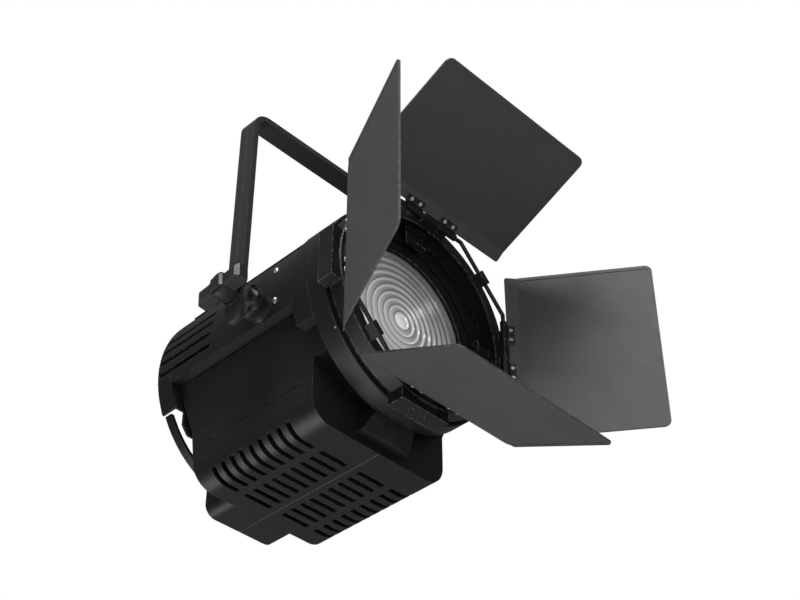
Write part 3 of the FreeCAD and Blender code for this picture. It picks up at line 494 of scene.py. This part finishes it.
def make_shade_sheets():
    low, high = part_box("rear_band")
    outer = (high.x - low.x) / 2 - BAND_WALL - SHADE_SHEET_GAP
    inner = outer - SHADE_SHEET_THICK
    front, back = low.y + SHADE_SHEET_FRONT, high.y - SHADE_SHEET_BACK
    corners = ((inner, front), (outer, front), (outer, back), (inner, back))
    for side, name in ((1, "right"), (-1, "left")):
        sections = []
        for i in range(SHADE_SHEET_STEPS + 1):
            share = i / SHADE_SHEET_STEPS
            angle = math.radians(SHADE_SHEET_LOW_DEGREES * (1 - share) + SHADE_SHEET_HIGH_DEGREES * share)
            sections.append([(side * radius * math.cos(angle), y,
                              AXIS.z + radius * math.sin(angle)) for radius, y in corners])
        verts, faces = [], []
        add_bar(verts, faces, sections)
        # a dark sheet that paints the shade behind the louvres
        piece("louvre_shade_sheet_" + name, verts, faces, "head", "module_case")


make_shade_sheets()


# Leaves: a hem folded flat round the three free edges of each leaf, on both faces.
HEM_WIDTH = 5.0 * MM
HEM_RISE = 0.7 * MM
HEM_ROOT = 0.5 * MM                  # points this near the hinge edge are left bare
HEM_MITRE = 0.5                      # least cosine that a corner's mitre is divided by
PANEL_FACING = 0.2                   # least cosine of a face that looks the asked way


def panel_loop(mesh, towards):
    """Outline of a leaf's main panel on the face that looks towards a direction, in order."""
    work = bmesh.new()
    work.from_mesh(mesh)
    groups = {}
    for face in work.faces:
        if face.normal.dot(towards) > PANEL_FACING:
            key = tuple(round(c, 2) for c in face.normal)
            groups.setdefault(key, []).append(face)
    panel = max(groups.values(), key=lambda faces: sum(f.calc_area() for f in faces))
    normal = panel[0].normal.copy()
    inside = set(panel)
    after = {}
    for face in panel:
        for loop in face.loops:
            if sum(f in inside for f in loop.edge.link_faces) == 1:
                after[loop.vert.co.to_tuple(7)] = loop.link_loop_next.vert.co.copy()
    first = next(iter(after))
    points, place = [], Vector(first)
    while True:
        points.append(place)
        place = after[place.to_tuple(7)]
        if place.to_tuple(7) == first:
            break
    work.free()
    return points, normal


def free_edge(points, hinge, axis):
    """The outline's points away from the hinge, with the one at each end of the hinge edge."""
    count = len(points)
    reach = [(p - hinge - axis * (p - hinge).dot(axis)).length for p in points]
    root = min(reach) + HEM_ROOT
    start = next(i for i in range(count)
                 if reach[i] < root and reach[(i + 1) % count] >= root)
    strip = [points[(start + i) % count] for i in range(count)]
    far = [reach[(start + i) % count] >= root for i in range(count)]
    last = next(strip[i] for i in range(count - 1, 0, -1) if not far[i])
    return [strip[0]] + [p for p, keep in zip(strip[1:], far[1:]) if keep] + [last]


def hem_section(strip, i, normal):
    """Four corners of the hem at one point of its edge."""
    place = strip[i]
    back = (place - strip[i - 1] if i else strip[1] - place).normalized()
    on = (strip[i + 1] - place).normalized() if i < len(strip) - 1 else back
    inward = (normal.cross(back) + normal.cross(on)).normalized()
    inward = inward / max(HEM_MITRE, inward.dot(normal.cross(on)))
    lift = normal * HEM_RISE
    inner = place + inward * HEM_WIDTH
    return [place, place + lift, inner + lift, inner]


def make_hem(side):
    joint = next(j for j in frame["record"]["behaviour"]["joints"]
                 if j["name"] == "leaf_%s_fold" % side)
    hinge, axis = Vector(joint["pos_m"]), Vector(joint["axis"])
    leaf = nodes["leaf_" + side]
    place = leaf.matrix_world
    low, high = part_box("leaf_" + side)
    away = (low + high) / 2 - hinge
    away -= axis * away.dot(axis)
    verts, faces = [], []
    for sense in (1, -1):
        points, normal = panel_loop(leaf.data, sense * axis.cross(away).normalized())
        normal = (place.to_3x3() @ normal).normalized()
        strip = free_edge([place @ p for p in points], hinge, axis)
        add_bar(verts, faces, [hem_section(strip, i, normal) for i in range(len(strip))])
    piece("hem_" + side, verts, faces, "leaf_" + side, "leaf_paint")


for side in ("left", "top", "right", "bottom"):
    make_hem(side)


# ---- studio and camera -------------------------------------------------------------------------
CAMERA_PLACE = Vector((-1.1012, -1.1778, -1.5370))
CAMERA_LOOK = Vector((0.5500, 0.5410, 0.6362))
CAMERA_LENS_MM = 71.18
CAMERA_SENSOR_MM = 36.0
FLOOR_Z = -1.75
FLOOR_HALF = 12.0
BACKDROP = 1.0                       # strength of the world that the camera sees
AMBIENT = 0.2                        # strength of the world that lights the part
HEAD = (0.0, -0.1, -0.3)
BELLY = (0.0, -0.1, -0.45)
LIGHTS = (                           # name, place, target, side in metres, watts
    ("key", (-1.8, -0.9, 2.0), HEAD, 1.4, 135.0),
    ("front", (-0.5, -1.4, -0.1), HEAD, 0.8, 6.5),
    ("low_fill", (-1.15, -1.75, -1.25), HEAD, 0.7, 17.0),
    ("under", (-0.4, 0.6, -1.65), BELLY, 1.2, 30.0),
)


def make_floor():
    mesh = bpy.data.meshes.new("studio_floor")
    half = FLOOR_HALF
    mesh.from_pydata([(-half, -half, FLOOR_Z), (half, -half, FLOOR_Z), (half, half, FLOOR_Z),
                      (-half, half, FLOOR_Z)], [], [(0, 1, 2, 3)])
    floor = bpy.data.objects.new("studio_floor", mesh)
    bpy.context.scene.collection.objects.link(floor)
    finish = Finish("floor_paper", (0.8, 0.8, 0.79), 0.8)
    finish.vary(finish.noise(scale=3.0, detail=2.0), share=0.01)
    paint(floor, finish.done())


def make_world():
    """White behind the part, and a much dimmer white that lights it."""
    world = bpy.data.worlds.new("studio")
    world.use_nodes = True
    tree = world.node_tree
    seen, cast = tree.nodes["Background"], tree.nodes.new("ShaderNodeBackground")
    for background, strength in ((seen, BACKDROP), (cast, AMBIENT)):
        background.inputs["Color"].default_value = WHITE
        background.inputs["Strength"].default_value = strength
    pick = tree.nodes.new("ShaderNodeMixShader")
    tree.links.new(tree.nodes.new("ShaderNodeLightPath").outputs["Is Camera Ray"], pick.inputs[0])
    tree.links.new(cast.outputs[0], pick.inputs[1])
    tree.links.new(seen.outputs[0], pick.inputs[2])
    tree.links.new(pick.outputs[0], tree.nodes["World Output"].inputs["Surface"])
    bpy.context.scene.world = world


def placed(name, data, place, look):
    """New object at a place, its -Z axis along a direction."""
    obj = bpy.data.objects.new(name, data)
    bpy.context.scene.collection.objects.link(obj)
    obj.location = place
    obj.rotation_mode = "QUATERNION"
    obj.rotation_quaternion = look.to_track_quat("-Z", "Y")
    return obj


def soft_box(name, place, target, side, power):
    light = bpy.data.lights.new(name, "AREA")
    light.shape = "RECTANGLE"
    light.size = light.size_y = side
    light.energy = power
    placed(name, light, place, Vector(target) - Vector(place))


def make_camera():
    data = bpy.data.cameras.new("camera")
    data.lens = CAMERA_LENS_MM
    data.sensor_width = CAMERA_SENSOR_MM
    bpy.context.scene.camera = placed("camera", data, CAMERA_PLACE, CAMERA_LOOK)


make_camera()
make_floor()
make_world()
for light in LIGHTS:
    soft_box(*light)
bpy.context.scene.view_settings.view_transform = "Standard"
